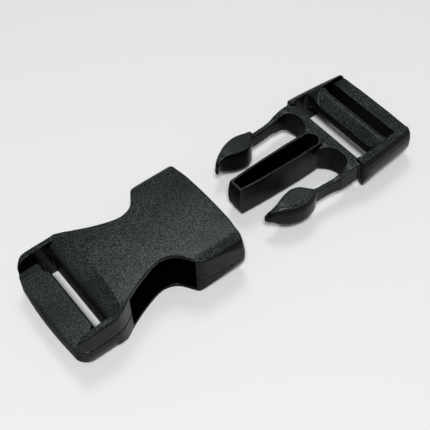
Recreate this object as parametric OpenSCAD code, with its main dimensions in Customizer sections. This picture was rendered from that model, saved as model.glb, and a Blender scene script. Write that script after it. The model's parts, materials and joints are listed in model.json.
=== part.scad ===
// Side-release buckle for 25 mm webbing, open, its two halves lying in line.
// Lengths are in mm. X runs along the buckle, from the socket's strap end (-X)
// to the plug's strap end (+X), Y across it, +Z up. The floor is Z = 0.

/* [Show] */
// Piece to build, or all of them

/* [Socket half] */
// Height of the socket body
socket_h = 13.2; // [12:0.1:15]
// Half width of the socket at its mouth
mouth_half = 15.5; // [14:0.1:17]
// How far the mouth's edge is bowed: X = -bow * Y * Y
mouth_bow = 0.0035; // [0:0.0005:0.01]
// Thickness of the bottom plate
floor_t = 1.1; // [1:0.1:2]
// Thickness of the top plate
roof_t = 1.3; // [1:0.1:2]
// Thickness of the side walls behind the mouth
wall_t = 1.3; // [1.2:0.1:2]
// Where the side walls end and the finger windows begin
shoulder_x = -14.2; // [-16:0.1:-13]
// Where the finger windows end
window_end_x = -34.2; // [-35:0.1:-32]
// Half width of the two rails at the strap end
rail_half = 14.6; // [14:0.1:16]
// Thickness of each rail
rail_t = 1.6; // [1.2:0.1:2.5]
// Height of the rails
rail_h = 12; // [10:0.1:13]
// Where the webbing slot begins, behind the body
slot_x = -37.5; // [-38.5:0.1:-36.5]
// Width of the webbing slot along X
slot_w = 3.1; // [2.5:0.1:4]
// Outer edge of the end bar, at its middle
bar_end_x = -48.3; // [-50:0.1:-46]
// Underside of the end bar
bar_low = 1.6; // [0:0.1:3]
// Top of the end bar
bar_top = 7.2; // [6:0.1:9]

/* [Plug half] */
// Distance from the socket's mouth to the front of the plug's frame
plug_x = 38.9; // [36:0.1:42]
// Height of the frame's side rails
frame_h = 11.2; // [10:0.1:13]
// Height of the crossbar between the arms
cross_h = 9.7; // [9:0.1:11]
// Underside of the crossbar and the guide
raised = 1.3; // [1.2:0.1:2]
// Front webbing slot, along X from the frame's front
slot1 = [0.0, 6.1]; // [0:0.1:8]
// Rear webbing slot, along X from the frame's front
slot2 = [11.0, 14.2]; // [9:0.1:16]
// Half length of the front webbing slot
slot1_half = 12.8; // [12.6:0.1:13.2]
// Half length of the rear webbing slot
slot2_half = 12.2; // [11.8:0.1:13]
// Outer edge of the frame's end bar, at its middle
frame_end = 18.4; // [17:0.1:20]
// Half width of the guide tongue at its root
guide_half = 3.0; // [2.5:0.1:3.5]
// Length of the guide tongue in front of the frame
guide_len = 31.2; // [28:0.1:33]
// Height of the guide tongue's top
guide_h = 10.5; // [9.5:0.1:11.5]
// Thickness of the guide pocket's rim
rim_t = 0.75; // [0.6:0.05:1.2]
// Floor of the guide pocket
pocket_z = 2.6; // [2:0.1:4]

/* [Spring arms] */
// Centre of each arm's bending root, X from the frame's front
root_x = -6; // [-8:0.1:-5]
// Centre of each arm's bending root, across
root_y = 13.0; // [12.8:0.1:13.4]
// Radius of the round root end
root_r = 0.8; // [0.6:0.05:1]
// Clearance between the root end and its seat in the frame
root_gap = 0.12; // [0.05:0.01:0.2]
// Underside of the arms
arm_low = 3.9; // [2:0.1:4.5]
// Top of the arms
arm_top = 8.0; // [7:0.1:9]
// Underside of the latching heads
head_low = 1.9; // [1.3:0.1:2.5]
// Top of the latching heads
head_top = 9.3; // [8:0.1:10]

/* [Hidden] */
$fn = 40;
mid_x = (bar_end_x + plug_x + frame_end) / 2;
plastic = [0.11, 0.11, 0.12];

// points on an arc around c
function arc(c, r, a, b, n) = [for (i = [0:n]) c + r * [cos(a + (b - a) * i / n), sin(a + (b - a) * i / n)]];

// an outline from its half above the X axis
function both(half) = concat(half, [for (i = [len(half) - 1:-1:0]) [half[i][0], -half[i][1]]]);

// a profile from its half on the right of the Z axis
function wide(half) = concat(half, [for (i = [len(half) - 1:-1:0]) [-half[i][0], half[i][1]]]);

// a solid laid over cross-sections [x, profile] along X, all with the same number of points
module loft(ribs) {
    n = len(ribs[0][1]);
    last = len(ribs) - 1;
    polyhedron(
        points = [for (rib = ribs) for (p = rib[1]) [rib[0], p[0], p[1]]],
        faces = concat(
            [[for (i = [0:n - 1]) i]],
            [[for (i = [n - 1:-1:0]) last * n + i]],
            [for (k = [0:last - 1]) for (i = [0:n - 1]) [k * n + (i + 1) % n, k * n + i, (k + 1) * n + i]],
            [for (k = [0:last - 1]) for (i = [0:n - 1])
                [k * n + (i + 1) % n, (k + 1) * n + i, (k + 1) * n + (i + 1) % n]]
        )
    );
}

// the half outline of the socket's body, from the middle of the mouth to the rails
function body_half() = concat(
    [for (i = [0.01, 3, 6, 9, 12]) [-mouth_bow * i * i, i]],
    arc([-1.8, mouth_half - 1.1], 1.1, 4, 84, 4),
    [
        [-6.0, mouth_half - 0.35],
        [-9.5, mouth_half - 0.65],
        [-12.0, mouth_half - 0.9],
        [-13.2, mouth_half - 1.3],
        [-14.0, mouth_half - 2.1],
        [-15.0, 12.0],
        [-15.9, 10.5],
        [-16.8, 9.4],
        [-18.1, 8.6],
        [-19.4, 8.25],
        [-20.8, 8.2],
        [-22.6, 8.5],
        [-25.2, 9.3],
        [-28.4, 10.5],
        [-31.8, 12.2],
        [-34.2, 13.6],
        [-35.6, rail_half - 0.35],
        [-37.0, rail_half],
        [-38.4, rail_half]
    ]
);

// the half outline of the strap end, around the rails and the bar
function strap_half() = concat(
    [[-34, rail_half - 1.6], [-35.6, rail_half - 0.35], [-37.0, rail_half]],
    arc([-43.9, rail_half - 3.8], 3.8, 90, 162, 6),
    [[bar_end_x + 0.2, 6], [bar_end_x, 0.01]]
);

// a profile in X and Z, pushed out along Y
module along_y(half) {
    translate([0, half, 0])
        rotate([90, 0, 0])
            linear_extrude(2 * half)
                children();
}

// a profile in Y and Z, pushed out along X
module along_x(from, to) {
    translate([from, 0, 0])
        rotate([90, 0, 90])
            linear_extrude(to - from)
                children();
}

// the space inside the socket: the mouth's funnel, then open through both windows
module cavity() {
    inner = mouth_half - wall_t;
    translate([0, 0, floor_t])
        linear_extrude(socket_h - floor_t - roof_t)
            polygon(both([
                [5, 0.01],
                [5, inner],
                [0, inner],
                [-7, inner - 0.3],
                [shoulder_x, inner - 1.0],
                [shoulder_x, 20],
                [window_end_x + 3.0, 20],
                [window_end_x + 2.6, 12.4],
                [window_end_x + 1.6, 11.4],
                [window_end_x, 11.0],
                [window_end_x, 0.01]
            ]));
}

// the hollow body with its bowed mouth and its slope down to the webbing slot
module socket_body() {
    difference() {
        intersection() {
            linear_extrude(socket_h)
                polygon(both(body_half()));
            along_y(20)
                polygon([
                    [1, 0],
                    [1, socket_h],
                    [-33.4, socket_h],
                    [-34.6, socket_h - 0.25],
                    [-35.8, 12.4],
                    [-36.9, 11.6],
                    [-37.8, 10.7],
                    [-38.35, 9.8],
                    [-38.35, 9.3],
                    [-37.9, 8.4],
                    [slot_x, 7],
                    [slot_x, 0]
                ]);
            along_x(-40, 1)
                polygon(wide([
                    [mouth_half - 1.75, 0],
                    [mouth_half - 1.3, 0.7],
                    [mouth_half - 0.8, 1.7],
                    [mouth_half - 0.35, 3.0],
                    [mouth_half - 0.1, 4.4],
                    [mouth_half, 6.0],
                    [mouth_half, socket_h - 5.2],
                    [mouth_half - 0.12, socket_h - 3.2],
                    [mouth_half - 0.5, socket_h - 1.9],
                    [mouth_half - 1.3, socket_h - 0.95],
                    [mouth_half - 2.5, socket_h - 0.42],
                    [mouth_half - 4.5, socket_h - 0.2],
                    [mouth_half - 7.5, socket_h - 0.08],
                    [5, socket_h]
                ]));
        }
        cavity();
    }
}

// the raised rail on the +Y side of the slot
module socket_rail() {
    intersection() {
        linear_extrude(rail_h)
            polygon(both(strap_half()));
        along_y(20)
            polygon([
                [-34.2, 0],
                [-34.2, rail_h + 1],
                [-35.6, rail_h + 0.5],
                [-37.5, rail_h],
                [-44, rail_h - 0.2],
                [-45.6, rail_h - 0.9],
                [-46.9, rail_h - 2.6],
                [-47.6, bar_top],
                [-47.9, 1],
                [-47.0, 0]
            ]);
        translate([-50, rail_half - rail_t, 0])
            cube([17, 5, 14]);
        along_x(-50, -33)
            polygon(wide([
                [rail_half - 0.85, 0],
                [rail_half - 0.45, 0.9],
                [rail_half - 0.15, 2.2],
                [rail_half, 3.6],
                [rail_half, 10.2],
                [rail_half - 0.2, 11.4],
                [rail_half - 0.6, rail_h + 0.3],
                [rail_half - 1.3, rail_h + 2]
            ]));
    }
}

// the flat bar that the webbing goes round
module socket_bar() {
    inner_x = slot_x - slot_w;
    difference() {
        intersection() {
            linear_extrude(bar_top)
                polygon(both(strap_half()));
            along_y(rail_half - 0.4)
                polygon([
                    [inner_x, bar_low + 0.8],
                    [inner_x, bar_top - 0.5],
                    [inner_x - 0.6, bar_top],
                    [bar_end_x + 1, bar_top],
                    [bar_end_x, bar_top - 1],
                    [bar_end_x, bar_low + 0.8],
                    [bar_end_x + 0.9, bar_low],
                    [inner_x - 0.9, bar_low]
                ]);
        }
        // a notch at each end of the bar's inner edge
        for (s = [-1, 1])
            translate([inner_x - 1.1, s * 11.35 - 1.55, 3])
                cube([2, 3.1, 6]);
    }
}

module socket() {
    color(plastic)
        translate([-mid_x, 0, 0])
            union() {
                socket_body();
                socket_rail();
                mirror([0, 1, 0])
                    socket_rail();
                socket_bar();
            }
}

// the half outline of the frame between its front and its end bar
function frame_half() = concat(
    [for (i = [0.01, 6, 12]) [-0.004 * i * i, i]],
    [[-0.85, 13.5], [-0.7, 14.4], [-0.1, 15.25], [1.1, 15.55], [2.6, 15.65], [4.5, 15.5]],
    [[8, 15.3], [12, 14.9]],
    arc([16.0, 12.35], 2.2, 80, 8, 5),
    [[frame_end - 0.06, 6], [frame_end, 0.01]]
);

// the frame's cross-section: rounded top edges, and sides that roll under to a narrower foot
function frame_profile(widest, foot) = wide([
    [foot, 0],
    [foot + 0.3 * (widest - foot), 1.25],
    [foot + 0.62 * (widest - foot), 2.5],
    [foot + 0.88 * (widest - foot), 3.8],
    [widest, 5.4],
    [widest, 7.2],
    [widest - 0.3, 8.9],
    [widest - 1.0, 10.2],
    [widest - 2.0, 10.95],
    [widest - 3.2, frame_h]
]);

// side rails and end bar, before the slots are cut
module frame_block() {
    intersection() {
        translate([0, 0, -1])
            linear_extrude(frame_h + 2)
                polygon(both(frame_half()));
        along_y(20)
            polygon([
                [-2, 9.4],
                [-1.35, 9.3],
                [-1.1, 7.5],
                [-0.6, 4.5],
                [0.1, 1.9],
                [1.4, -1],
                [14.8, -1],
                [16.2, 0],
                [17.3, 0.8],
                [18.15, 2.4],
                [18.45, 5.0],
                [18.4, 7.4],
                [18.05, 8.8],
                [17.4, 9.75],
                [16.5, 10.55],
                [15.2, 11.05],
                [12, 11.5],
                [1.6, 11.4],
                [-0.4, 10.8],
                [-2, 10.3]
            ]);
        loft([
            [-2.5, frame_profile(15.65, 14.3)],
            [2.6, frame_profile(15.6, 14.2)],
            [4.5, frame_profile(15.45, 13.75)],
            [6.4, frame_profile(15.3, 13.35)],
            [8.5, frame_profile(15.12, 13.05)],
            [10.5, frame_profile(14.95, 12.95)],
            [12.5, frame_profile(14.75, 12.85)],
            [14.5, frame_profile(14.55, 12.75)],
            [16.3, frame_profile(14.35, 12.5)],
            [19, frame_profile(14.0, 12.0)]
        ]);
    }
}

// the crowned bar between the two slots, raised off the floor
module middle_bar() {
    along_y(slot1_half + 0.6)
        polygon([
            [slot1[1] + 0.1, 5.1],
            [slot1[1] + 0.7, 4.5],
            [slot2[0] - 1.1, 4.5],
            [slot2[0] - 0.3, 5.3],
            [slot2[0], 7.2],
            [slot2[0] - 0.1, 8.6],
            [slot2[0] - 0.5, 9.5],
            [slot2[0] - 1.2, 9.85],
            [slot2[0] - 1.9, 9.85],
            [slot2[0] - 2.5, 9.6],
            [slot1[1] + 0.25, 7.85],
            [slot1[1], 7.6],
            [slot1[1], 6.0]
        ]);
}

// the arch on the +Y side, between the guide and the arm
module arch() {
    translate([0, 0, -1])
        linear_extrude(16)
            polygon([
                [-12, guide_half - 0.2],
                [-6.0, guide_half],
                [-4.5, 3.5],
                [-3.3, 4.4],
                [-2.4, 5.7],
                [-1.9, 7.3],
                [-1.9, 8.9],
                [-2.3, 10.3],
                [-3.1, 11.4],
                [-4.3, 12.0],
                [-6.0, root_y - root_r],
                [-12, 12.0]
            ]);
}

// the crossbar in front of the frame, with the stub that carries the +Y arm
module crossbar() {
    difference() {
        translate([0, 0, raised])
            linear_extrude(cross_h - raised)
                polygon(both([
                    [slot1[0] + 0.3, 0.01],
                    [slot1[0] + 0.3, 13.95],
                    [-3, 13.9],
                    [-6.0, root_y + root_r],
                    [-6.0, 0.01]
                ]));
        arch();
        mirror([0, 1, 0])
            arch();
        for (s = [-1, 1])
            translate([root_x, s * root_y, -1])
                cylinder(h = 16, r = root_r + root_gap);
        // the underside rises towards the arms
        for (s = [-1, 1])
            along_x(-9, 2)
                polygon([
                    [s * 8.6, -1],
                    [s * 8.6, raised],
                    [s * 10.8, 2.4],
                    [s * 12.3, 3.45],
                    [s * 14.5, 3.9],
                    [s * 16, 3.9],
                    [s * 16, -1]
                ]);
        // the stubs thin down to the arms' height
        along_y(20)
            polygon([[-7, 9.2], [-7, 11], [-3.2, 11], [-3.2, 9.7], [-4.2, 9.2]]);
    }
}

// the guide's cross-section, a little wider at its foot
function guide_profile(top, foot) = wide([[foot, raised], [top, guide_h]]);

// the guide tongue before its pocket is cut
module guide() {
    tip = -guide_len;
    intersection() {
        loft([
            [tip - 1, guide_profile(2.1, 2.25)],
            [tip + 0.3, guide_profile(2.2, 2.35)],
            [-24.7, guide_profile(guide_half - 0.4, guide_half - 0.25)],
            [-18, guide_profile(guide_half - 0.2, guide_half + 0.05)],
            [-11.7, guide_profile(guide_half - 0.06, guide_half + 0.2)],
            [0, guide_profile(guide_half - 0.2, guide_half)]
        ]);
        linear_extrude(12)
            polygon(both([
                [-2.4, 0.01],
                [-2.6, 1.2],
                [-3.4, 2.3],
                [-5.0, guide_half],
                [-8, 3.6],
                [tip - 2, 3.6],
                [tip - 2, 0.01]
            ]));
        along_y(6)
            polygon([
                [0, 12],
                [tip + 0.55, 12],
                [tip + 0.6, guide_h],
                [tip + 0.1, 8],
                [tip, 5.5],
                [tip + 0.2, 3.5],
                [tip + 0.6, 2.2],
                [tip + 1.2, 1.0],
                [tip + 1.2, 0],
                [0, 0]
            ]);
    }
}

// the deep pocket in the top of the guide, round at its root
module guide_pocket() {
    far = -guide_len + rim_t + 0.6;
    translate([0, 0, pocket_z])
        linear_extrude(guide_h)
            polygon(both(concat(
                arc([-5.55, 0], guide_half - rim_t - 0.1, 1, 85, 6),
                [
                    [-11.7, guide_half - rim_t - 0.05],
                    [-18, guide_half - rim_t - 0.18],
                    [-24.7, guide_half - rim_t - 0.38],
                    [far, guide_half - rim_t - 0.78],
                    [far, 0.01]
                ]
            )));
}

// everything that is cut from the frame: both slots and the lower level between the rails
module frame_cuts() {
    // the longer front slot ends just under the bar's rear edge
    step_x = slot2[0] - 0.6;
    translate([slot1[0], -slot1_half, -1])
        cube([step_x - slot1[0], 2 * slot1_half, 14]);
    translate([step_x - 0.1, -slot2_half, -1])
        cube([slot2[1] - step_x + 0.1, 2 * slot2_half, 14]);
    translate([-3, -12.4, cross_h])
        cube([6, 24.8, 4]);
    translate([slot2[1] - 1, -slot2_half - 0.15, 9.2])
        cube([8, 2 * slot2_half + 0.3, 4]);
}

module plug_frame() {
    color(plastic)
        translate([plug_x - mid_x, 0, 0])
            difference() {
                union() {
                    difference() {
                        union() {
                            frame_block();
                            crossbar();
                        }
                        frame_cuts();
                    }
                    middle_bar();
                    guide();
                }
                guide_pocket();
            }
}

// the +Y head's cross-section: a flat inner side, a rounded outer side and a nearly flat top
function head_profile(inside, outside, low, top) =
    let (r = min(1.0, 0.3 * (outside - inside), 0.3 * (top - low)))
    [
        [inside + 0.5 * r, low],
        [outside - 1.3 * r, low],
        [outside - 0.5 * r, low + 0.4 * r],
        [outside - 0.1 * r, low + 1.2 * r],
        [outside, low + 2.2 * r],
        [outside, top - 2.4 * r],
        [outside - 0.12 * r, top - 1.4 * r],
        [outside - 0.45 * r, top - 0.65 * r],
        [outside - r, top - 0.2 * r],
        [outside - 1.5 * r, top],
        [inside + 0.4 * r, top],
        [inside, top - 0.4 * r],
        [inside, low + 0.5 * r]
    ];

// the leaf-shaped head with its nose
module head() {
    loft([
        [-29.05, head_profile(9.5, 10.3, head_low + 2.9, head_top - 2.8)],
        [-28.5, head_profile(9.6, 10.95, head_low + 2.6, head_top - 2.4)],
        [-28.0, head_profile(9.85, 11.4, head_low + 2.5, head_top - 1.5)],
        [-27.4, head_profile(10.1, 11.85, head_low + 2.3, head_top - 1.0)],
        [-26.5, head_profile(10.15, 12.5, head_low + 1.5, head_top - 0.5)],
        [-25.4, head_profile(10.0, 13.2, head_low + 0.8, head_top - 0.15)],
        [-24.0, head_profile(9.5, 13.95, head_low + 0.3, head_top)],
        [-22.5, head_profile(9.0, 14.5, head_low + 0.1, head_top)],
        [-21.0, head_profile(8.7, 14.85, head_low, head_top)],
        [-19.7, head_profile(8.55, 14.98, head_low, head_top)],
        [-18.4, head_profile(8.9, 14.85, head_low, head_top)],
        [-17.3, head_profile(9.55, 14.6, head_low + 0.1, head_top)],
        [-16.4, head_profile(10.65, 14.3, head_low + 0.2, head_top)],
        [-15.7, head_profile(11.6, 13.9, head_low + 0.4, head_top)],
        [-15.2, head_profile(12.1, 13.5, head_low + 0.7, head_top - 0.1)],
        [-14.9, head_profile(12.4, 13.1, head_low + 1.1, head_top - 0.3)]
    ]);
}

// the arm on the +Y side: round root, tapering shank and head
module arm_solid() {
    translate([0, 0, arm_low])
        linear_extrude(arm_top - arm_low)
            polygon([
                [root_x, root_y + root_r],
                [-9, 13.4],
                [-12, 13.1],
                [-15.6, 13.05],
                [-15.6, 11.75],
                [-12, 11.85],
                [-9, 12.05],
                [root_x, root_y - root_r]
            ]);
    translate([root_x, root_y, arm_low])
        cylinder(h = arm_top - arm_low, r = root_r);
    head();
}

module arm_left() {
    color(plastic)
        translate([plug_x - mid_x, 0, 0])
            arm_solid();
}

module arm_right() {
    color(plastic)
        translate([plug_x - mid_x, 0, 0])
            mirror([0, 1, 0])
                arm_solid();
}

socket();
plug_frame();
arm_left();
arm_right();
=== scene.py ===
# %% [markdown]
# # A side-release buckle, open
# The object is a plastic buckle for 25 mm webbing. Its two halves lie in line on a pale surface: the hollow
# socket, and the plug with its guide tongue and its two spring arms. Each half comes out of one steel mould,
# so each is modelled as one moulding with small rounded edges, and nothing is bolted or glued on.
# The first lines load the fixed frame. Every size after that is measured from it.

# %% Load the frame
import json
import math
import bpy
from mathutils import Euler, Matrix, Vector

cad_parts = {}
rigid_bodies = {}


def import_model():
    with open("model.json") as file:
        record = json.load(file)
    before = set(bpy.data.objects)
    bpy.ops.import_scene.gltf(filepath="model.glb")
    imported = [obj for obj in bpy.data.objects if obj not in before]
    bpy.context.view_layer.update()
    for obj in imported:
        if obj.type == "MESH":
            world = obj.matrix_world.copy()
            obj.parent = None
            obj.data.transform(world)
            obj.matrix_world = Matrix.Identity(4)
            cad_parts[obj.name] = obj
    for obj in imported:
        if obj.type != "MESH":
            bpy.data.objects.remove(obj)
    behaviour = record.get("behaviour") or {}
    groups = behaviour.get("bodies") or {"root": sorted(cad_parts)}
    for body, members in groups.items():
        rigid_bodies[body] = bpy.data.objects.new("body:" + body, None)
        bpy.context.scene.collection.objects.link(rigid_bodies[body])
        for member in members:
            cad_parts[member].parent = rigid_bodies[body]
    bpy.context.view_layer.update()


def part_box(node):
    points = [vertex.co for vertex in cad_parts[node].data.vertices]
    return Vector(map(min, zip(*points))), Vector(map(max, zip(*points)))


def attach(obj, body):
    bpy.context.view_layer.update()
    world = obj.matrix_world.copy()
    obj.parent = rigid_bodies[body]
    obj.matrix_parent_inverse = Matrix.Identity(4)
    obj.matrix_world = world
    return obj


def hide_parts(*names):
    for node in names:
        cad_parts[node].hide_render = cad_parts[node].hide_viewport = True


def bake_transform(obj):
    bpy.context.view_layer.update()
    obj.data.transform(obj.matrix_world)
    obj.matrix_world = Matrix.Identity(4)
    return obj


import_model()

MM = 0.001

# %% [markdown]
# ## A bench in millimetres
# The buckle is 106 mm long and some of its rims are under a millimetre thick. Blender's tools work best on
# things of a few units, so the pieces are made on a bench where one unit is one millimetre, and are shrunk
# into place at the end. The bench uses the two lines that a buckle designer would use: the socket's mouth
# and the front of the plug's frame. Both are read from the frame, so the pieces land where the solids are.

# %% Where the bench lies in the frame
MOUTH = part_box("socket")[1].x / MM
PLUG_END = 18.4
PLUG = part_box("plug_frame")[1].x / MM - PLUG_END
print("mouth at x =", round(MOUTH, 2), "mm, plug frame front at x =", round(PLUG, 2), "mm")


# %% Selecting and finishing by hand
def pick(obj):
    """Selects one object alone and makes it active."""
    bpy.ops.object.select_all(action="DESELECT")
    obj.select_set(True)
    bpy.context.view_layer.objects.active = obj


def apply_all(obj):
    """Applies every modifier of an object, in order."""
    pick(obj)
    for modifier in list(obj.modifiers):
        bpy.ops.object.modifier_apply(modifier=modifier.name)


def triangles(obj):
    """How many triangles a mesh has."""
    return sum(len(face.vertices) - 2 for face in obj.data.polygons)


# %% Smooth outlines from a few points
def curve(points, steps=6):
    """A smooth line through the points. Two equal points in a row keep a sharp corner there."""
    line = []
    last = len(points) - 1
    for i in range(last):
        p1, p2 = points[i], points[i + 1]
        if p1 == p2:
            continue
        p0 = points[max(i - 1, 0)]
        p3 = points[min(i + 2, last)]
        for k in range(steps):
            t = k / steps
            line.append(tuple(
                0.5 * (2 * b + (c - a) * t + (2 * a - 5 * b + 4 * c - d) * t * t
                       + (3 * b - a - 3 * c + d) * t * t * t)
                for a, b, c, d in zip(p0, p1, p2, p3)))
    line.append(tuple(points[last]))
    return line


def arc(centre, radius, start, end, steps=6):
    """Points on an arc, with angles in degrees."""
    turn = [math.radians(start + (end - start) * k / steps) for k in range(steps + 1)]
    return [(centre[0] + radius * math.cos(a), centre[1] + radius * math.sin(a)) for a in turn]


def both(half):
    """A closed outline from its +Y half, which starts and ends on the middle line."""
    return half + [(x, -y) for x, y in reversed(half) if abs(y) > 1e-6]


def wide(half):
    """A closed cross-section from its right half, which starts and ends on the middle line."""
    return half + [(-y, z) for y, z in reversed(half) if abs(y) > 1e-6]


# %% Solids cut from an outline
ACROSS = 20  # half the width of a cutter that is wider than the buckle
BELOW, ABOVE = -1, 12  # heights under and over all that a cutter has to cut


def sheet_of(outline):
    """A filled face with the outline, made from a circle whose points are moved onto it."""
    bpy.ops.object.select_all(action="DESELECT")
    bpy.ops.mesh.primitive_circle_add(vertices=len(outline), radius=1, fill_type="NGON")
    obj = bpy.context.object
    for vertex, (u, v) in zip(obj.data.vertices, outline):
        vertex.co = (u, v, 0)
    return obj


def face_outwards(obj):
    """Turns the faces of a closed solid outwards. The solid is the active object."""
    bpy.ops.object.mode_set(mode="EDIT")
    bpy.ops.mesh.select_all(action="SELECT")
    bpy.ops.mesh.normals_make_consistent(inside=False)
    bpy.ops.object.mode_set(mode="OBJECT")
    return obj


def pull(obj, height):
    """Extrudes the face into a closed solid."""
    bpy.ops.object.mode_set(mode="EDIT")
    bpy.ops.mesh.select_all(action="SELECT")
    bpy.ops.mesh.extrude_region_move(TRANSFORM_OT_translate={"value": (0, 0, height)})
    bpy.ops.object.mode_set(mode="OBJECT")
    return face_outwards(obj)


def settle(obj):
    """Puts an object's place and turn into its mesh."""
    pick(obj)
    bpy.ops.object.transform_apply(location=True, rotation=True, scale=True)
    return obj


def lofted(stations):
    """A closed solid through outlines at several heights. All have the same number of points."""
    height, outline = stations[0]
    obj = sheet_of(outline)
    for next_height, outline in stations[1:]:
        bpy.ops.object.mode_set(mode="EDIT")
        bpy.ops.mesh.extrude_region_move(TRANSFORM_OT_translate={"value": (0, 0, next_height - height)})
        bpy.ops.object.mode_set(mode="OBJECT")
        for vertex, (u, v) in zip(list(obj.data.vertices)[-len(outline):], outline):
            vertex.co.x, vertex.co.y = u, v
        height = next_height
    return face_outwards(obj)


def stack(stations):
    """Outlines seen from above, each at its height."""
    obj = lofted(stations)
    obj.location.z = stations[0][0]
    return settle(obj)


def hull(stations):
    """Cross-sections (y, z), each at its place along X, as a boat's hull is laid over its frames."""
    obj = lofted(stations)
    obj.rotation_euler = Euler((math.pi / 2, 0, math.pi / 2))
    obj.location.x = stations[0][0]
    return settle(obj)


def plate(outline, low, high):
    """An outline seen from above (x, y), from one height to another."""
    obj = pull(sheet_of(outline), high - low)
    obj.location.z = low
    return settle(obj)


def section(profile, start, end):
    """A cross-section (y, z) run along X."""
    obj = pull(sheet_of(profile), end - start)
    obj.rotation_euler = Euler((math.pi / 2, 0, math.pi / 2))
    obj.location.x = start
    return settle(obj)


def side(profile, half):
    """A side view (x, z) run across the buckle, from -half to +half."""
    obj = pull(sheet_of(profile), 2 * half)
    obj.rotation_euler = Euler((math.pi / 2, 0, 0))
    obj.location.y = half
    return settle(obj)


# %% Fitting solids together
def fit(obj, tool, how):
    """Cuts an object by a tool, or keeps only what both share. The tool is used up."""
    for nudge in (0, 0.005, -0.011):
        spare = obj.data.copy()
        tool.location = (nudge, nudge, nudge)
        modifier = obj.modifiers.new("fit", "BOOLEAN")
        modifier.operation = how
        modifier.solver = "EXACT"
        modifier.object = tool
        apply_all(obj)
        if len(obj.data.polygons) > 3:
            break
        print("nothing was left, so the tool is nudged")
        obj.data = spare
    bpy.data.objects.remove(tool)
    bpy.ops.object.mode_set(mode="EDIT")
    bpy.ops.mesh.select_all(action="SELECT")
    bpy.ops.mesh.remove_doubles(threshold=0.004)
    bpy.ops.mesh.dissolve_degenerate(threshold=0.004)
    bpy.ops.object.mode_set(mode="OBJECT")
    return obj


def mirrored(obj):
    """A copy on the other side of the middle line, with its faces turned outwards again."""
    twin = obj.copy()
    twin.data = obj.data.copy()
    bpy.context.scene.collection.objects.link(twin)
    twin.scale.y = -1
    return face_outwards(settle(twin))


def join(solids):
    """Several solids as one object. They may overlap, since moulding fuses them."""
    pick(solids[0])
    for solid in solids[1:]:
        solid.select_set(True)
    bpy.ops.object.join()
    return bpy.context.object


# %% Moulding: one skin with rounded edges
SKIN_GRID = 0.17  # mm, fine enough for the thinnest rim
SOFT_ROUNDS = 5  # each round moves a point half-way to the middle of its neighbours
KEEP = 0.35  # the share of the skin's faces that its shape needs


def mould(obj):
    """Fuses an object's solids into one skin of small squares, rounds its edges and thins flat areas."""
    skin = obj.modifiers.new("skin", "REMESH")
    skin.mode = "VOXEL"
    skin.voxel_size = SKIN_GRID
    soften = obj.modifiers.new("soften", "SMOOTH")
    soften.factor = 0.5
    soften.iterations = SOFT_ROUNDS
    thin = obj.modifiers.new("thin", "DECIMATE")
    thin.ratio = KEEP
    apply_all(obj)


def into_frame(obj, line_x):
    """Moves a finished piece from the bench to its place, in metres."""
    obj.location.x = line_x * MM
    obj.scale = (MM, MM, MM)
    return settle(obj)


# %% [markdown]
# ## The socket
# The socket is a flat box with a bowed mouth. It narrows to a waist where both sides are open, so that two
# fingers can press the plug's heads. Its strap end is two rails with a bar between them.
# It could be modelled by hand from one cage, but its many cut-outs meet at odd angles. It is built the way
# the mould is cut instead: outlines from above, from the side and from the end, each pulled into a solid
# and fitted to the others. The skin that is laid over them at the end rounds every edge alike.

# %% Socket: heights and widths
SOCKET_H = 13.2
MOUTH_HALF = 15.5
MOUTH_BOW = 0.0035  # the mouth stands back by this times y squared
FLOOR_T = 1.1
ROOF_T = 1.3
RAIL_HALF = 14.6
RAIL_T = 1.6
RAIL_H = 12.0
SLOT_X = -37.5  # the slot's edge on the body's side
SLOT_W = 3.1
BAR_END = -48.3
BAR_TOP = 7.2
BAR_LOW = 1.6
PARTING_Z = 5.2
STRAP_PARTING_Z = 6.0
SEAM_HALF = 0.2  # half the height of the parting line's groove
SEAM_DEPTH = 0.4
print("socket:", round(-BAR_END, 1), "mm long,", 2 * MOUTH_HALF, "mm wide and", SOCKET_H, "mm high")


# %% Socket: outline from above
def body_outline(corner_r=0.85, back=0.0, grow=0.0):
    """The body from above. The mouth's corners have the radius corner_r, the mouth stands back, and
    the whole outline can grow outwards."""
    side_y = MOUTH_HALF + grow
    face = -0.7 - back
    mouth = [(-MOUTH_BOW * y * y - back + grow, y) for y in (0, 3, 6, 9)]
    mouth += [(face + grow, side_y - corner_r - 0.6)]
    corner = arc((face - corner_r + grow, side_y - corner_r), corner_r, 4, 86, 6)
    flank = [(-6.0, 15.15), (-9.5, 14.85), (-11.8, 14.6)]
    waist = [(-13.1, 14.25), (-13.9, 13.55), (-14.6, 12.55), (-15.4, 11.3), (-16.4, 9.9), (-17.8, 8.8),
             (-19.4, 8.25), (-20.8, 8.15), (-22.6, 8.45), (-25.2, 9.3), (-28.4, 10.55), (-31.8, 12.2)]
    hip = [(-34.2, 13.6), (-35.6, 14.25), (-37.0, 14.55), (-40, RAIL_HALF)]
    sides = [(x, y + grow) for x, y in flank + waist + hip]
    return both(curve(mouth, 3) + corner + curve(sides, 5) + [(-40, 0)])


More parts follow.
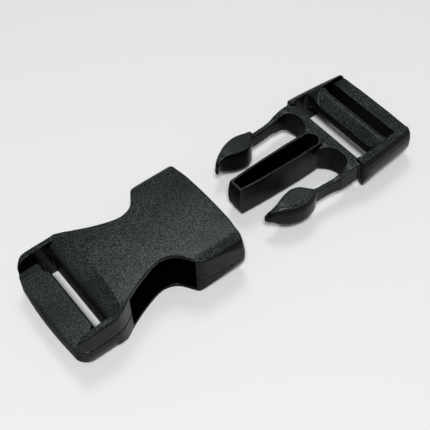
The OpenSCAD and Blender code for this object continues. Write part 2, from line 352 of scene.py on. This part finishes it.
# %% Socket: the hollow body
lips = [(-1, 3.6, 0.5), (0.1, 3.4, 0.3), (1.7, 3.0, 0.15), (2.8, 1.5, 0.05), (4.0, 0.9, -0.05), (5.2, 0.7, -0.1),
        (7.5, 0.8, -0.1), (9.5, 1.3, 0), (11.0, 2.0, 0), (12.0, 2.6, 0.02), (12.9, 3.2, 0.2), (13.4, 3.5, 0.45)]
body = stack([(z, body_outline(corner_r, back)) for z, corner_r, back in lips])
crown = [(0, 0), (4, 0.02), (8, 0.09), (11, 0.2), (13, 0.42)]
roll = [(14.2, 0.95), (15.0, 1.9), (15.38, 3.2), (15.5, 5.2)]
upper = [(y, SOCKET_H - drop) for y, drop in crown + roll]
belly = [(15.5, 6.0), (15.4, 4.4), (15.15, 3.0), (14.7, 1.7), (14.2, 0.7), (13.75, 0.0)]
body = fit(body, section(wide(curve(upper + belly, 4) + [(0, 0)]), -41, 2), "INTERSECT")
slope = [(2, -1), (2, 15), (-33.4, 15)]
slope += curve([(-33.4, 13.25), (-34.6, 12.95), (-35.8, 12.4), (-36.9, 11.6), (-37.8, 10.7), (-38.35, 9.8)], 3)
slope += [(-38.35, 9.3), (-37.9, 8.4), (SLOT_X, 7), (SLOT_X, -1)]
body = fit(body, side(slope, ACROSS), "INTERSECT")
hollow = [(5, 0), (5, 14.2), (0, 14.2), (-7, 13.9), (-14.2, 13.2), (-14.2, ACROSS), (-31.2, ACROSS),
          (-31.6, 12.4), (-32.6, 11.4), (-34.2, 11.0), (-34.2, 0)]
body = fit(body, plate(both(hollow), FLOOR_T, SOCKET_H - ROOF_T), "DIFFERENCE")


# %% Socket: the parting line of its mould
def seam(outside, inside, height, start, end):
    """A thin ring between two outlines, from start to end, which cuts the mould's parting line into a side."""
    ring = plate(outside, height - SEAM_HALF, height + SEAM_HALF)
    ring = fit(ring, plate(inside, 0, ABOVE), "DIFFERENCE")
    return fit(ring, plate([(start, -30), (end, -30), (end, 30), (start, 30)], 0, ABOVE), "INTERSECT")


for height, start, end in ((PARTING_Z, -18, 4), (STRAP_PARTING_Z, -39, -26)):
    groove = seam(body_outline(grow=1), body_outline(grow=-SEAM_DEPTH), height, start, end)
    body = fit(body, groove, "DIFFERENCE")
print("socket body:", triangles(body), "triangles before moulding")


# %% Socket: rails at the strap end
def strap_outline(depth=0.0):
    """The strap end from above, drawn in by a depth."""
    flank = [(-34, 13.0), (-34.2, 13.6), (-35.6, 14.25), (-37.0, 14.55), (-40, RAIL_HALF)]
    end = [(-47.75, 9.5), (-48.08, 6), (-48.24, 3), (BAR_END, 0)]
    corner = arc((-43.9, RAIL_HALF - 3.8), 3.8 - depth, 90, 162, 8)
    half = curve([(x, y - depth) for x, y in flank], 4) + corner + curve([(x + depth, y) for x, y in end], 3)
    return both([(-34, 0)] + half)


rolls = [(-1, 1.3), (0.1, 0.82), (0.9, 0.45), (2.2, 0.15), (3.6, 0), (RAIL_H + 2, 0)]
rail = stack([(z, strap_outline(depth)) for z, depth in rolls])
thumb = curve([(-33.9, 12.6), (-35.6, 12.45), (-37.5, 12.1), (-41, 11.95), (-44, 11.7), (-45.7, 10.9),
               (-46.9, 9.3), (-47.7, 7.2), (-48.1, 5.6)], 4)
rail = fit(rail, side([(-33.9, 0)] + thumb + [(-48.4, 5.0), (-48.4, 1.4), (-47.4, 0)], ACROSS), "INTERSECT")
rail_end = [(RAIL_HALF - RAIL_T, -1), (RAIL_HALF - RAIL_T, 14), (13.9, 14), (14.4, 12.2), (14.58, 11.4),
            (14.63, 10.4), (14.65, 6), (15, -1)]
rail = fit(rail, section(rail_end, -50, -33), "INTERSECT")


def strap_seam():
    """The cutter for the parting line round the rails and the bar."""
    return seam(strap_outline(-1), strap_outline(SEAM_DEPTH), STRAP_PARTING_Z, -60, -30)


rail = fit(rail, strap_seam(), "DIFFERENCE")
rails = [rail, mirrored(rail)]
print("two rails:", 2 * triangles(rail), "triangles before moulding")

# %% Socket: the end bar, with a notch at each end
inner = SLOT_X - SLOT_W
bar = plate(strap_outline(), 0, BAR_TOP + 1)
bar_end = [(inner, 2.4), (inner, 6.7), (inner - 0.5, BAR_TOP), (-47.6, BAR_TOP), (BAR_END, 6.5), (BAR_END, 2.6),
           (-47.5, BAR_LOW), (inner - 0.9, BAR_LOW)]
bar = fit(bar, side(bar_end, RAIL_HALF - 0.5), "INTERSECT")
notch = plate([(inner - 1.1, 9.8), (inner + 0.3, 9.8), (inner + 0.3, 12.9), (inner - 1.1, 12.9)], 3, 9)
for cutter in (strap_seam(), mirrored(notch), notch):
    bar = fit(bar, cutter, "DIFFERENCE")
socket = join([body, *rails, bar])
print("socket solids:", triangles(socket), "triangles before moulding")

# %% Socket: mould it
mould(socket)
socket.name = "socket_moulding"
into_frame(socket, MOUTH)
print("socket:", triangles(socket), "triangles")

# %% [markdown]
# ## The plug
# The plug is one moulding too: a frame with two webbing slots, a crossbar in front of it, a guide tongue with
# a deep pocket that keeps the wall thin, and two arms that end in leaf-shaped heads. The arms are springs.
# It is built like the socket, from outlines, one form after another. It is moulded whole, so that the arms
# grow out of the crossbar with no joint line, and is parted at the arms' roots afterwards.

# %% Plug: sizes
FRAME_H = 11.2
CROSS_H = 9.7
RAISED = 1.3  # the crossbar doesn't touch what the buckle lies on
SLOT_1_START = 0.0
SLOT_2 = (11.0, 14.2)  # where the rear slot starts and ends
SLOT_1_HALF = 12.8
SLOT_2_HALF = 12.2
CROSS_HALF = 12.4  # half the width of the step from the rails down to the crossbar
print("plug frame:", FRAME_H, "mm high, webbing slots", 2 * SLOT_1_HALF, "and", 2 * SLOT_2_HALF, "mm wide")

# %% Plug: rails and end bar
front = curve([(0, 0), (-0.144, 6), (-0.5, 11.2), (-0.8, 12.6), (-0.92, 13.6), (-0.75, 14.6), (-0.1, 15.3),
               (1.1, 15.58), (2.6, 15.75), (8, 15.6), (12, 15.2)], 4)


def frame_outline(corner_r, back):
    """The frame from above. Its rear corners have the radius corner_r, and its end stands back."""
    corner = arc((18.2 - back - corner_r, 14.55 - corner_r), corner_r, 78, 6, 9)
    end = curve([(18.3 - back, 9.5), (18.36 - back, 6), (PLUG_END - back, 0)], 3)
    return both(front + corner + end)


ears = [(-1, 2.2, 0), (7.0, 2.2, 0), (8.6, 2.6, 0.05), (9.8, 3.2, 0.3), (10.7, 3.8, 0.8),
        (11.3, 4.2, 1.3), (12.2, 4.5, 1.8)]
block = stack([(z, frame_outline(corner_r, back)) for z, corner_r, back in ears])


def frame_section(widest, foot):
    """The frame's cross-section: sides that roll under to a narrower foot, and rounded top edges."""
    roll = widest - foot
    half = [(0, 0), (foot, 0), (foot + 0.3 * roll, 1.25), (foot + 0.62 * roll, 2.5), (foot + 0.88 * roll, 3.8),
            (widest, 5.4), (widest, 7.2), (widest - 0.3, 8.9), (widest - 1.0, 10.2), (widest - 2.0, 10.95),
            (widest - 3.2, FRAME_H), (0, FRAME_H)]
    return wide(half)


ribs = [(-2.5, 15.65, 14.3), (2.6, 15.6, 14.2), (4.5, 15.45, 13.75), (6.4, 15.3, 13.35), (8.5, 15.12, 13.05),
        (10.5, 14.95, 12.95), (12.5, 14.75, 12.85), (14.5, 14.55, 12.75), (16.3, 14.35, 12.5), (19, 14.0, 12.0)]
block = fit(block, hull([(x, frame_section(widest, foot)) for x, widest, foot in ribs]), "INTERSECT")
keel = [(-3, 9.6), (-1.35, 9.3), (-1.1, 7.5), (-0.6, 4.5), (0.1, 1.9), (1.0, 0.1), (1.5, -1)]
stern = curve([(14.8, -1), (16.2, 0.05), (17.3, 0.8), (18.15, 2.4), (18.45, 5.0), (18.44, 7.4), (18.3, 8.9),
               (17.9, 9.9), (17.1, 10.65), (15.6, 11.1), (12.5, 11.4), (8, 11.5), (2.0, 11.4), (0.3, 11.0),
               (-1.2, 10.5), (-3, 10.0)], 4)
block = fit(block, side(keel + stern, ACROSS), "INTERSECT")
print("rails and end bar:", triangles(block), "triangles before moulding")


# %% Plug: crossbar and webbing slots
def box_of(x0, x1, half, z0, z1):
    """A plain cutter across the middle of the plug."""
    bpy.ops.object.select_all(action="DESELECT")
    bpy.ops.mesh.primitive_cube_add(size=1, location=((x0 + x1) / 2, 0, (z0 + z1) / 2))
    cutter = bpy.context.object
    cutter.scale = (x1 - x0, 2 * half, z1 - z0)
    return settle(cutter)


def rounded_slot(x0, x1, half, radius, z0, z1):
    """A slot cutter with rounded ends, seen from above."""
    corner_1 = arc((x1 - radius, half - radius), radius, 0, 90, 4)
    corner_2 = arc((x0 + radius, half - radius), radius, 90, 180, 4)
    return plate(both([(x1, 0)] + corner_1 + corner_2 + [(x0, 0)]), z0, z1)


arch = curve([(-14, 2.75), (-6.4, 2.95), (-4.9, 3.3), (-3.6, 4.2), (-2.6, 5.5), (-2.0, 7.1), (-1.9, 8.8),
              (-2.3, 10.2), (-3.2, 11.3), (-4.4, 11.95), (-6.0, 12.2), (-8, 12.1), (-14, 11.9)], 5)
cross_plan = [(1.0, -13.95), (1.0, 13.95), (-3, 13.9), (-7, 13.8), (-7, -13.8), (-3, -13.9)]
crossbar = plate(cross_plan, RAISED, CROSS_H)
dip = [(2, RAISED), (2, CROSS_H), (-3.0, CROSS_H), (-4.2, 9.5), (-5.5, 9.05), (-7.2, 8.3), (-7.2, 3.0),
       (-5.2, 1.9), (-4.0, RAISED)]
crossbar = fit(crossbar, side(dip, ACROSS), "INTERSECT")
lift = [(8.6, -1), (8.6, RAISED), (10.8, 2.4), (12.3, 3.45), (14.5, 3.9), (16, 3.9), (16, -1)]
for sign in (1, -1):
    gap = [(x, sign * y) for x, y in arch]
    crossbar = fit(crossbar, plate(gap[::sign], BELOW, ABOVE), "DIFFERENCE")
    crossbar = fit(crossbar, section([(sign * y, z) for y, z in lift][::sign], -9, 2), "DIFFERENCE")
cuts = [
    rounded_slot(SLOT_1_START - 0.7, SLOT_2[0] - 0.6, SLOT_1_HALF, 1.4, BELOW, ABOVE + 1),
    box_of(SLOT_2[0] - 2, SLOT_2[1], SLOT_2_HALF, BELOW, ABOVE + 1),
    box_of(-4, 3.2, CROSS_HALF, CROSS_H, ABOVE + 1),
    box_of(SLOT_2[1] - 1, 20, SLOT_2_HALF + 0.15, 9.2, ABOVE + 1),
]
for cutter in cuts:
    block = fit(block, cutter, "DIFFERENCE")
crossbar = fit(crossbar, box_of(SLOT_1_START, 3, SLOT_1_HALF, BELOW, ABOVE + 1), "DIFFERENCE")
print("plug frame:", triangles(block) + triangles(crossbar), "triangles before moulding")

# %% [markdown]
# ## The middle bar
# The webbing comes up through one slot, goes over this bar and down through the other. Pulled tight, it jams
# against the bar's crown, which is why the bar is thick and rounded. At its ends it swells into the rails with
# soft saddles, because a sharp inner corner would crack under the pull. A saddle could be sculpted. Here it is
# cut like everything else: a slope seen from the end, kept only inside a rounded nook seen from above.

# %% Plug: the crowned middle bar
crown_bar = [(6.2, 5.1), (6.8, 4.5), (9.9, 4.5), (10.7, 5.3)]
crown_bar += curve([(11.0, 7.2), (10.9, 8.6), (10.5, 9.5), (9.8, 9.85), (9.1, 9.85), (8.5, 9.6)], 4)
crown_bar += [(6.35, 7.85), (6.1, 7.6), (6.1, 6.0)]
middle_bar = side(crown_bar, SLOT_1_HALF + 0.8)
saddle = curve([(10.2, 9.3), (11.3, 9.75), (12.1, 10.25), (12.7, 10.8), (13.3, 11.05)], 4)
saddle += [(13.3, 8.5), (10.2, 8.5)]
swell = [(6.6, 8.1)]
swell += curve([(8.2, 9.9), (9.0, 10.8), (9.7, 11.1), (10.3, 10.6), (10.75, 9.4), (10.85, 8.0)], 4)
swell += [(10.6, 7), (7, 7)]
rise = curve([(8.4, 7.55), (9.4, 7.85), (10.4, 8.4), (11.3, 9.2), (12.0, 10.0), (12.6, 10.7), (13.4, 11.0)], 4)
rise += [(13.4, 6), (8.4, 6)]
nook = [(8.6, 8.3), (8.6, 13.5), (3.0, 13.5)] + arc((3.2, 9.75), 3.1, 90, 0, 8) + [(6.3, 8.3)]
saddles = []
for sign in (1, -1):
    crest = section([(sign * y, z) for y, z in saddle][::-sign], 5, 12)
    saddles.append(fit(crest, side(swell, ACROSS), "INTERSECT"))
    fillet = section([(sign * y, z) for y, z in rise][::-sign], 3, 9)
    saddles.append(fit(fillet, plate([(x, sign * y) for x, y in nook][::sign], 5, ABOVE), "INTERSECT"))
print("middle bar:", triangles(middle_bar), "triangles, and", len(saddles), "solids for its saddles")

# %% [markdown]
# ## The guide tongue
# The tongue finds the middle of the socket before the heads reach its mouth. It is nearly as high as the
# mouth, but a solid bar of that size would sink in as it cools, so the mould hollows it with a deep pocket.
# Its sides taper towards the tip, as every moulded wall does, so it is laid over cross-sections like a boat's
# hull.

# %% Plug: guide tongue and its pocket
GUIDE_LEN = 31.2
GUIDE_LOW = 1.25
GUIDE_H = 10.5
POCKET_FLOOR = 2.6
tip = -GUIDE_LEN


def tongue_section(top, foot):
    """The tongue's cross-section, a little wider at its foot."""
    return wide([(0, GUIDE_LOW), (foot, GUIDE_LOW), (top, GUIDE_H), (0, GUIDE_H)])


tongue = [(tip - 1, 2.1, 2.25), (tip + 0.3, 2.2, 2.35), (-24.7, 2.6, 2.75), (-18, 2.8, 3.05), (-11.7, 2.94, 3.2),
          (-6, 2.85, 3.05), (0, 2.8, 3.0)]
guide = hull([(x, tongue_section(top, foot)) for x, top, foot in tongue])
round_end = arc((-5.3, 0), 3.0, 0, 80, 8) + [(-8, 3.6), (tip - 2, 3.6), (tip - 2, 0)]
guide = fit(guide, plate(both(round_end), 0, ABOVE), "INTERSECT")
tip_end = [(tip + 0.55, ABOVE), (tip + 0.6, GUIDE_H), (tip + 0.1, 8), (tip, 5.5), (tip + 0.2, 3.5),
           (tip + 0.6, 2.2), (tip + 1.2, 1.0), (tip + 1.6, 0), (0, 0), (0, ABOVE)]
guide = fit(guide, side(tip_end, ACROSS), "INTERSECT")
pocket = arc((-5.55, 0), 2.1, 0, 85, 8) + [(-11.7, 2.22), (-18, 2.08), (-24.7, 1.88), (tip + 1.35, 1.48)]
pocket += [(tip + 1.35, 0)]
guide = fit(guide, plate(both(pocket), POCKET_FLOOR, ABOVE), "DIFFERENCE")
crossbar = fit(crossbar, plate(both(pocket), POCKET_FLOOR, ABOVE), "DIFFERENCE")
print("guide:", triangles(guide), "triangles before moulding")

# %% [markdown]
# ## The spring arms
# An arm is thin from side to side, so that it bends inward, and deep from top to bottom, so that it doesn't
# twist. Its head is a leaf with a rounded outer side, which the finger presses, and a shoulder at the back that
# catches in the socket's window. The shank is flat enough for two outlines. The head curves every way, so it is
# laid over cross-sections that are written as five sizes each. One arm is made, and the other is its mirror.

# %% Plug: the shank of an arm
ROOT = (-6.0, 13.0)  # where an arm starts to bend
ARM_LOW, ARM_TOP = 3.95, 8.0
shank = curve([(-5.0, 13.85), (-7.0, 13.7), (-9, 13.4), (-12, 13.1), (-15.6, 13.1)], 4)
shank += curve([(-15.6, 11.6), (-12, 11.85), (-9, 12.1), (-7.0, 12.2), (-5.0, 12.2)], 4)
arm = plate(shank, 0, ABOVE)
spring = [(-4.5, 9.0), (-5.5, 8.95), (-7.2, 8.35), (-9, 8.05), (-12, ARM_TOP), (-16, ARM_TOP)]
spring += [(-16, ARM_LOW), (-9, ARM_LOW), (-7.2, 3.8), (-4.5, 3.55)]
arm = fit(arm, side(spring, ACROSS), "INTERSECT")
print("shank:", triangles(arm), "triangles before moulding")


# %% Plug: the head of an arm
def head_section(inside, outside, low, top):
    """A head's cross-section: a flat inner side, a rounded outer side and a nearly flat top."""
    r = min(1.0, 0.3 * (outside - inside), 0.3 * (top - low))
    return [(inside + 0.5 * r, low), (outside - 1.3 * r, low), (outside - 0.5 * r, low + 0.4 * r),
            (outside - 0.1 * r, low + 1.2 * r), (outside, low + 2.2 * r), (outside, top - 2.4 * r),
            (outside - 0.12 * r, top - 1.4 * r), (outside - 0.45 * r, top - 0.65 * r), (outside - r, top - 0.2 * r),
            (outside - 1.5 * r, top), (inside + 0.4 * r, top), (inside, top - 0.4 * r), (inside, low + 0.5 * r)]


# place along X, inner side, outer side, underside and top
leaf = [
    (-29.05, 9.5, 10.3, 4.8, 6.5), (-28.5, 9.6, 10.95, 4.5, 6.9), (-28.0, 9.85, 11.4, 4.4, 7.8),
    (-27.4, 10.1, 11.85, 4.2, 8.3), (-26.5, 10.15, 12.5, 3.4, 8.8), (-25.4, 10.0, 13.2, 2.7, 9.15),
    (-24.0, 9.5, 13.95, 2.2, 9.3), (-22.5, 9.0, 14.5, 2.0, 9.3), (-21.0, 8.7, 14.85, 1.9, 9.3),
    (-19.7, 8.55, 14.98, 1.9, 9.3), (-18.4, 8.9, 14.85, 1.9, 9.3), (-17.3, 9.55, 14.6, 2.0, 9.3),
    (-16.4, 10.65, 14.3, 2.1, 9.3), (-15.7, 11.6, 13.9, 2.3, 9.3), (-15.2, 12.1, 13.5, 2.6, 9.2),
    (-14.9, 12.4, 13.1, 3.0, 9.0),
]
head = hull([(x, head_section(*sizes)) for x, *sizes in curve(leaf, 3)])
arm = join([arm, head])
print("one arm:", triangles(arm), "triangles before moulding")

# %% Plug: mould it whole
plug = join([block, middle_bar, *saddles, crossbar, guide, arm, mirrored(arm)])
mould(plug)
plug.name = "plug_moulding"
print("plug:", triangles(plug), "triangles")

# %% [markdown]
# ## Parting the arms
# On the real buckle nothing is parted here: the plastic bends. In this model each arm is an object of its own.
# Modelling it apart would leave a line where it meets the crossbar.
# So the finished moulding is cut through at the arm's root, where the bending starts, and both cuts are closed.


# %% Plug: part the arms at their roots
BESIDE_GUIDE = 7  # mm from the middle line, between the guide and an arm


def choose_faces(obj, wanted):
    """Selects the faces whose centres pass the test, and goes to edit mode."""
    pick(obj)
    bpy.context.tool_settings.mesh_select_mode = (False, False, True)
    bpy.ops.object.mode_set(mode="EDIT")
    bpy.ops.mesh.select_all(action="DESELECT")
    bpy.ops.object.mode_set(mode="OBJECT")
    for face in obj.data.polygons:
        face.select = wanted(face.center)
    bpy.ops.object.mode_set(mode="EDIT")


def cap(obj):
    """Closes the open cut with one flat face."""
    pick(obj)
    bpy.context.tool_settings.mesh_select_mode = (False, True, False)
    bpy.ops.object.mode_set(mode="EDIT")
    bpy.ops.mesh.select_all(action="DESELECT")
    bpy.ops.mesh.select_non_manifold()
    bpy.ops.mesh.edge_face_add()
    bpy.ops.object.mode_set(mode="OBJECT")


def part_arm(moulding, sign, name):
    """Cuts one arm off the moulding at its root, and closes both cuts."""
    choose_faces(moulding, lambda c: c.x < ROOT[0] + 2 and sign * c.y > BESIDE_GUIDE)
    bpy.ops.mesh.bisect(plane_co=(ROOT[0], 0, 0), plane_no=(1, 0, 0))
    bpy.ops.object.mode_set(mode="OBJECT")
    choose_faces(moulding, lambda c: c.x < ROOT[0] and sign * c.y > BESIDE_GUIDE)
    bpy.ops.mesh.separate(type="SELECTED")
    bpy.ops.object.mode_set(mode="OBJECT")
    piece = [o for o in bpy.context.selected_objects if o is not moulding][0]
    piece.name = name
    cap(piece)
    cap(moulding)
    return piece


left = part_arm(plug, 1, "left_arm_moulding")
right = part_arm(plug, -1, "right_arm_moulding")
print("arms:", triangles(left), "and", triangles(right), "triangles")

# %% Into the frame, and smooth shading
SHARP_DEG = 60
for piece in (plug, left, right):
    into_frame(piece, PLUG)
for piece in (socket, plug, left, right):
    pick(piece)
    bpy.ops.object.shade_smooth_by_angle(angle=math.radians(SHARP_DEG))
    print(piece.name, triangles(piece), "triangles")

# %% [markdown]
# ## The plastic
# Buckles are moulded in acetal, a hard, slightly waxy plastic, here dyed black. Spark erosion gave the mould's top
# faces a fine even grain, drawn here as a small relief and as shinier and duller spots. The soft grey sheen on
# those faces is partly the window light and partly painted: faces that look up get a lighter, lit grey as base
# colour, with painted bright specks on high grains and darker ones between. The sides keep the deep black and are
# smoother, so they look darker, and the walls across the slots, which eroded cores form, are matt.
# A photo of the surface would need an image file, so all of it is made from noise: its size is the real
# grain's, drawn a little coarser so that it shows.


# %% Colours and nodes
def linear(hex_colour):
    """An sRGB hex colour as linear red, green, blue and alpha."""
    parts = [int(hex_colour[i:i + 2], 16) / 255 for i in (1, 3, 5)]
    return [c / 12.92 if c <= 0.04045 else ((c + 0.055) / 1.055) ** 2.4 for c in parts] + [1.0]


def add_node(tree, kind, settings=None, **links):
    """Adds a node, sets its properties and sockets by name, and links its inputs."""
    node = tree.nodes.new(kind)
    for name, value in (settings or {}).items():
        if name in node.inputs:
            node.inputs[name].default_value = value
        else:
            setattr(node, name, value)
    for name, source in links.items():
        tree.links.new(source, node.inputs[name.replace("_", " ")])
    return node


# %% Where the acetal is grained, and where its sheen is painted
def faces_up(tree, place, facing):
    """1 on a face that looks up, and 0 on the sides and on floors deep inside. It sets where the grain stands out
    and where the painted sheen goes.
    """
    level = add_node(tree, "ShaderNodeSeparateXYZ", None, Vector=place.outputs["Object"])
    outer = add_node(tree, "ShaderNodeMapRange", {"From Min": 3 * MM, "From Max": 5 * MM}, Value=level.outputs["Z"])
    top = add_node(tree, "ShaderNodeMapRange", {"From Min": 0.45, "From Max": 0.8}, Value=facing.outputs["Z"])
    tree.links.new(outer.outputs["Result"], top.inputs["To Max"])
    return top.outputs["Result"]


# %% The acetal's colour, relief and roughness
PATCH_MM = 11  # the tops are a little greyer in soft patches of about this size


def grain_and_painted_sheen_colour(tree, place, grain, top, deep, lit):
    """Deep black, with a painted sheen on faces that look up: a lighter, lit grey, weaker in soft random patches,
    with painted bright specks on high grains.
    """
    cloud = add_node(tree, "ShaderNodeTexNoise", {"Scale": 1 / (PATCH_MM * MM), "Detail": 2.0},
                     Vector=place.outputs["Object"])
    patch = add_node(tree, "ShaderNodeMapRange", {"From Min": 0.35, "From Max": 0.65, "To Min": 0.6},
                     Value=cloud.outputs["Fac"])
    share = add_node(tree, "ShaderNodeMath", {"operation": "MULTIPLY"}, Value=patch.outputs["Result"])
    tree.links.new(top, share.inputs[1])
    # Painted sheen: faces that look up get the lighter, lit grey in place of the deep black.
    colour = add_node(tree, "ShaderNodeMixRGB", {"Color1": linear(deep), "Color2": linear(lit)},
                      Fac=share.outputs["Value"])
    # Painted glints and shade of the grain: on the tops the colour is darkened on low grains and brightened up to
    # about four times on high ones.
    speck = add_node(tree, "ShaderNodeMapRange",
                     {"From Min": 0.42, "From Max": 0.62, "To Min": 0.1, "To Max": 4.2}, Value=grain)
    specked = add_node(tree, "ShaderNodeMixRGB", {"blend_type": "MULTIPLY"}, Fac=top,
                       Color1=colour.outputs["Color"], Color2=speck.outputs["Result"])
    return specked.outputs["Color"]


def grain_relief(tree, grain, top, relief_mm):
    """Bumps of the grain's height on the tops, and an eighth of it on the sides."""
    depth = add_node(tree, "ShaderNodeMapRange", {"To Min": 0.12}, Value=top)
    height = add_node(tree, "ShaderNodeMath", {"operation": "MULTIPLY"}, Value=grain)
    tree.links.new(depth.outputs["Result"], height.inputs[1])
    bump = add_node(tree, "ShaderNodeBump", {"Strength": 1.0, "Distance": relief_mm * MM},
                    Height=height.outputs["Value"])
    return bump.outputs["Normal"]


def grain_roughness(tree, grain, facing, gloss):
    """Shinier on high grains, and matt on a wall that looks towards the socket's strap end."""
    rough = add_node(tree, "ShaderNodeMapRange",
                     {"From Min": 0.35, "From Max": 0.65, "To Min": gloss + 0.12, "To Max": gloss - 0.11},
                     Value=grain)
    matt = add_node(tree, "ShaderNodeMapRange", {"From Min": -0.5, "From Max": -0.9, "To Max": 0.45},
                    Value=facing.outputs["X"])
    total = add_node(tree, "ShaderNodeMath", {"operation": "ADD"}, Value=rough.outputs["Result"])
    tree.links.new(matt.outputs["Result"], total.inputs[1])
    return total.outputs["Value"]


# %% Spark-grained acetal, with a painted sheen on its tops
def acetal(name, deep, lit, gloss, grain_mm, relief_mm):
    """Black moulded acetal: waxy rather than shiny, so it mirrors less than its IOR alone would."""
    material = bpy.data.materials.new(name)
    material.use_nodes = True
    tree = material.node_tree
    tree.nodes.clear()
    place = add_node(tree, "ShaderNodeTexCoord")
    noise = add_node(tree, "ShaderNodeTexNoise", {"Scale": 1 / (grain_mm * MM), "Detail": 3.0, "Roughness": 0.65},
                     Vector=place.outputs["Object"])
    grain = noise.outputs["Fac"]
    facing = add_node(tree, "ShaderNodeSeparateXYZ", None, Vector=place.outputs["Normal"])
    top = faces_up(tree, place, facing)
    plastic = add_node(tree, "ShaderNodeBsdfPrincipled", {"IOR": 1.48, "Specular IOR Level": 0.13},
                       Base_Color=grain_and_painted_sheen_colour(tree, place, grain, top, deep, lit),
                       Roughness=grain_roughness(tree, grain, facing, gloss),
                       Normal=grain_relief(tree, grain, top, relief_mm))
    add_node(tree, "ShaderNodeOutputMaterial", None, Surface=plastic.outputs["BSDF"])
    return material


# The deep colour is the plastic's own black. The lit one is a painted sheen for faces that look up.
grained = acetal("spark_grained_acetal", "#020203", "#1f2423", gloss=0.22, grain_mm=0.31, relief_mm=0.025)
print("acetal:", len(grained.node_tree.nodes), "nodes")

# %% [markdown]
# ## How the pieces move
# The socket and the plug are stiff, so each rides on its own body. An arm is a spring, but here it follows no body:
# its place is only put into its mesh, where it was made.


# %% Ride
def dress(piece, material, node):
    """Gives a finished piece its material, and hides the CAD node that it stands for."""
    piece.data.materials.clear()
    piece.data.materials.append(material)
    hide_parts(node)


for piece, node in ((socket, "socket"), (plug, "plug_frame"), (left, "arm_left"), (right, "arm_right")):
    dress(piece, grained, node)
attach(socket, "socket_half")
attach(plug, "plug_half")
for piece, body, sign in ((left, "left_arm", 1), (right, "right_arm", -1)):
    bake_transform(piece)

# %% [markdown]
# ## Floor, light and camera
# The buckle lies on a pale, seamless board. It is matt, so it mirrors nothing and only throws light back up against
# the plastic. The main light stands on the camera's side, a little higher: it brightens the floor down in the slots
# and hides most shadows behind the buckle. A weaker soft box beyond the buckle, like a window, is mirrored in the
# tops nearest the camera and adds its grey sheen there to the sheen that is painted on all the tops. The room
# around is dim and warm, so the narrow shadows that are left look brownish. The camera looks down at 52 degrees
# with a long lens, from the socket's left.

# %% Floor
bpy.ops.object.select_all(action="DESELECT")
bpy.ops.mesh.primitive_plane_add(size=3)
floor = bpy.context.object
floor.name = "floor"
floor_paint = bpy.data.materials.new("matte_white_board")
floor_paint.use_nodes = True
floor_shader = floor_paint.node_tree.nodes["Principled BSDF"]
floor_shader.inputs["Base Color"].default_value = linear("#ececec")
floor_shader.inputs["Roughness"].default_value = 0.9
floor_shader.inputs["Specular IOR Level"].default_value = 0.2
floor.data.materials.append(floor_paint)
print("floor:", tuple(round(d, 2) for d in floor.dimensions[:2]), "m")


# %% Lights
def softbox(name, place, size, power, colour):
    """A square soft light that looks at the buckle."""
    bpy.ops.object.light_add(type="AREA", location=place)
    light = bpy.context.object
    light.name = name
    light.data.shape = "SQUARE"
    light.data.size = size
    light.data.energy = power
    light.data.color = linear(colour)[:3]
    light.rotation_euler = (-Vector(place)).to_track_quat("-Z", "Y").to_euler()
    print(name, "light:", power, "W")


softbox("main", (-0.25, -0.34, 0.75), 0.2, 5.8, "#fafcff")
softbox("window", (0.17, 0.24, 0.6), 0.2, 0.92, "#f4fffa")
world = bpy.data.worlds.new("studio")
world.use_nodes = True
world.node_tree.nodes["Background"].inputs["Color"].default_value = linear("#f4e5d9")
world.node_tree.nodes["Background"].inputs["Strength"].default_value = 0.2
bpy.context.scene.world = world

# %% Camera
CAMERA_AZ = -36.143
CAMERA_EL = 51.882
CAMERA_ROLL = -2.19
CAMERA_MM = 232.08
LOOK_AT = Vector((-0.913, 2.496, 0)) * MM
FOCAL_PX = 898.75
PICTURE_PX = 430
SENSOR_MM = 36
az, el = math.radians(CAMERA_AZ), math.radians(CAMERA_EL)
towards = Vector((math.cos(el) * math.sin(az), -math.cos(el) * math.cos(az), math.sin(el)))
bpy.ops.object.camera_add(location=LOOK_AT + towards * CAMERA_MM * MM)
camera = bpy.context.object
camera.data.sensor_width = SENSOR_MM
camera.data.lens = FOCAL_PX * SENSOR_MM / PICTURE_PX
camera.data.clip_start = 0.01
turn = towards.to_track_quat("Z", "Y").to_matrix() @ Matrix.Rotation(math.radians(CAMERA_ROLL), 3, "Z")
camera.rotation_euler = turn.to_euler()
bpy.context.scene.camera = camera
bpy.context.scene.view_settings.view_transform = "Standard"
print("camera at", [round(c, 4) for c in camera.location])
